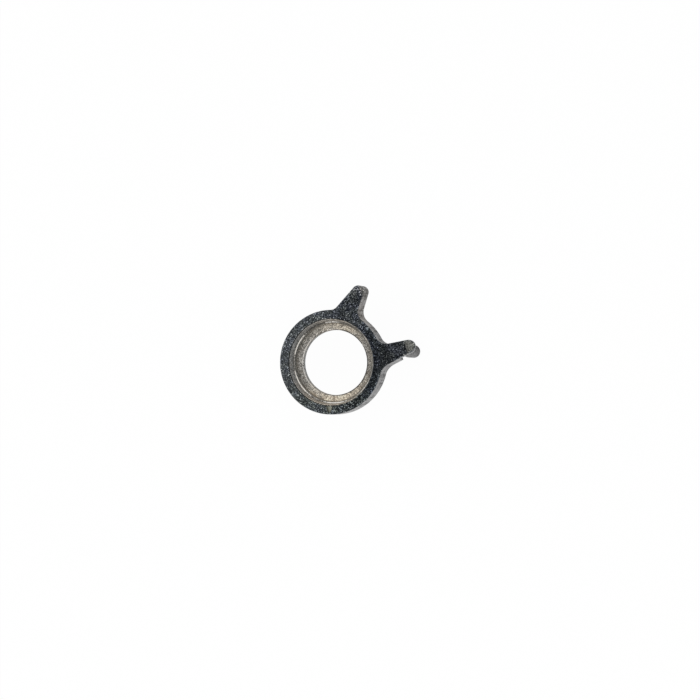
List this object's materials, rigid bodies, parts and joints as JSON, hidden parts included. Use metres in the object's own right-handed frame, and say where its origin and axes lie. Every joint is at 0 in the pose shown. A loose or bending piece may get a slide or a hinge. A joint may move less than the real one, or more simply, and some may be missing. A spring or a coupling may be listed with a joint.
{
  "type": "watch click",
  "caption": "Dark grained steel ring with a rounded beak and tail, turning on a stepped seat ring, with a round stud under the tail; stops a ratchet wheel running back.",
  "frame": {"origin": "on the turning axis, at the seat ring's lower face, which sits on the bridge", "axes": "+Z along the turning axis towards the top face, +X towards the tail side, with the tail 11 degrees and the beak 68.7 degrees anticlockwise from +X"},
  "size_m": [0.0042, 0.0039, 0.0017],
  "materials": {
    "dark_steel": "fine-grained, dark grey, with lighter machined flanks",
    "seat_metal": "turned, warm silver",
    "stud_steel": "smooth, light grey"
  },
  "bodies": {
    "seat": {"seat_ring": "seat_metal"},
    "click": {"click_body": "dark_steel", "tail_stud": "stud_steel"}
  },
  "joints": [
    {"name": "click_pivot", "type": "hinge", "parent": "seat", "child": "click", "pos_m": [0, 0, 0], "axis": [0, 0, 1], "range_deg": [-8, 18]}
  ]
}
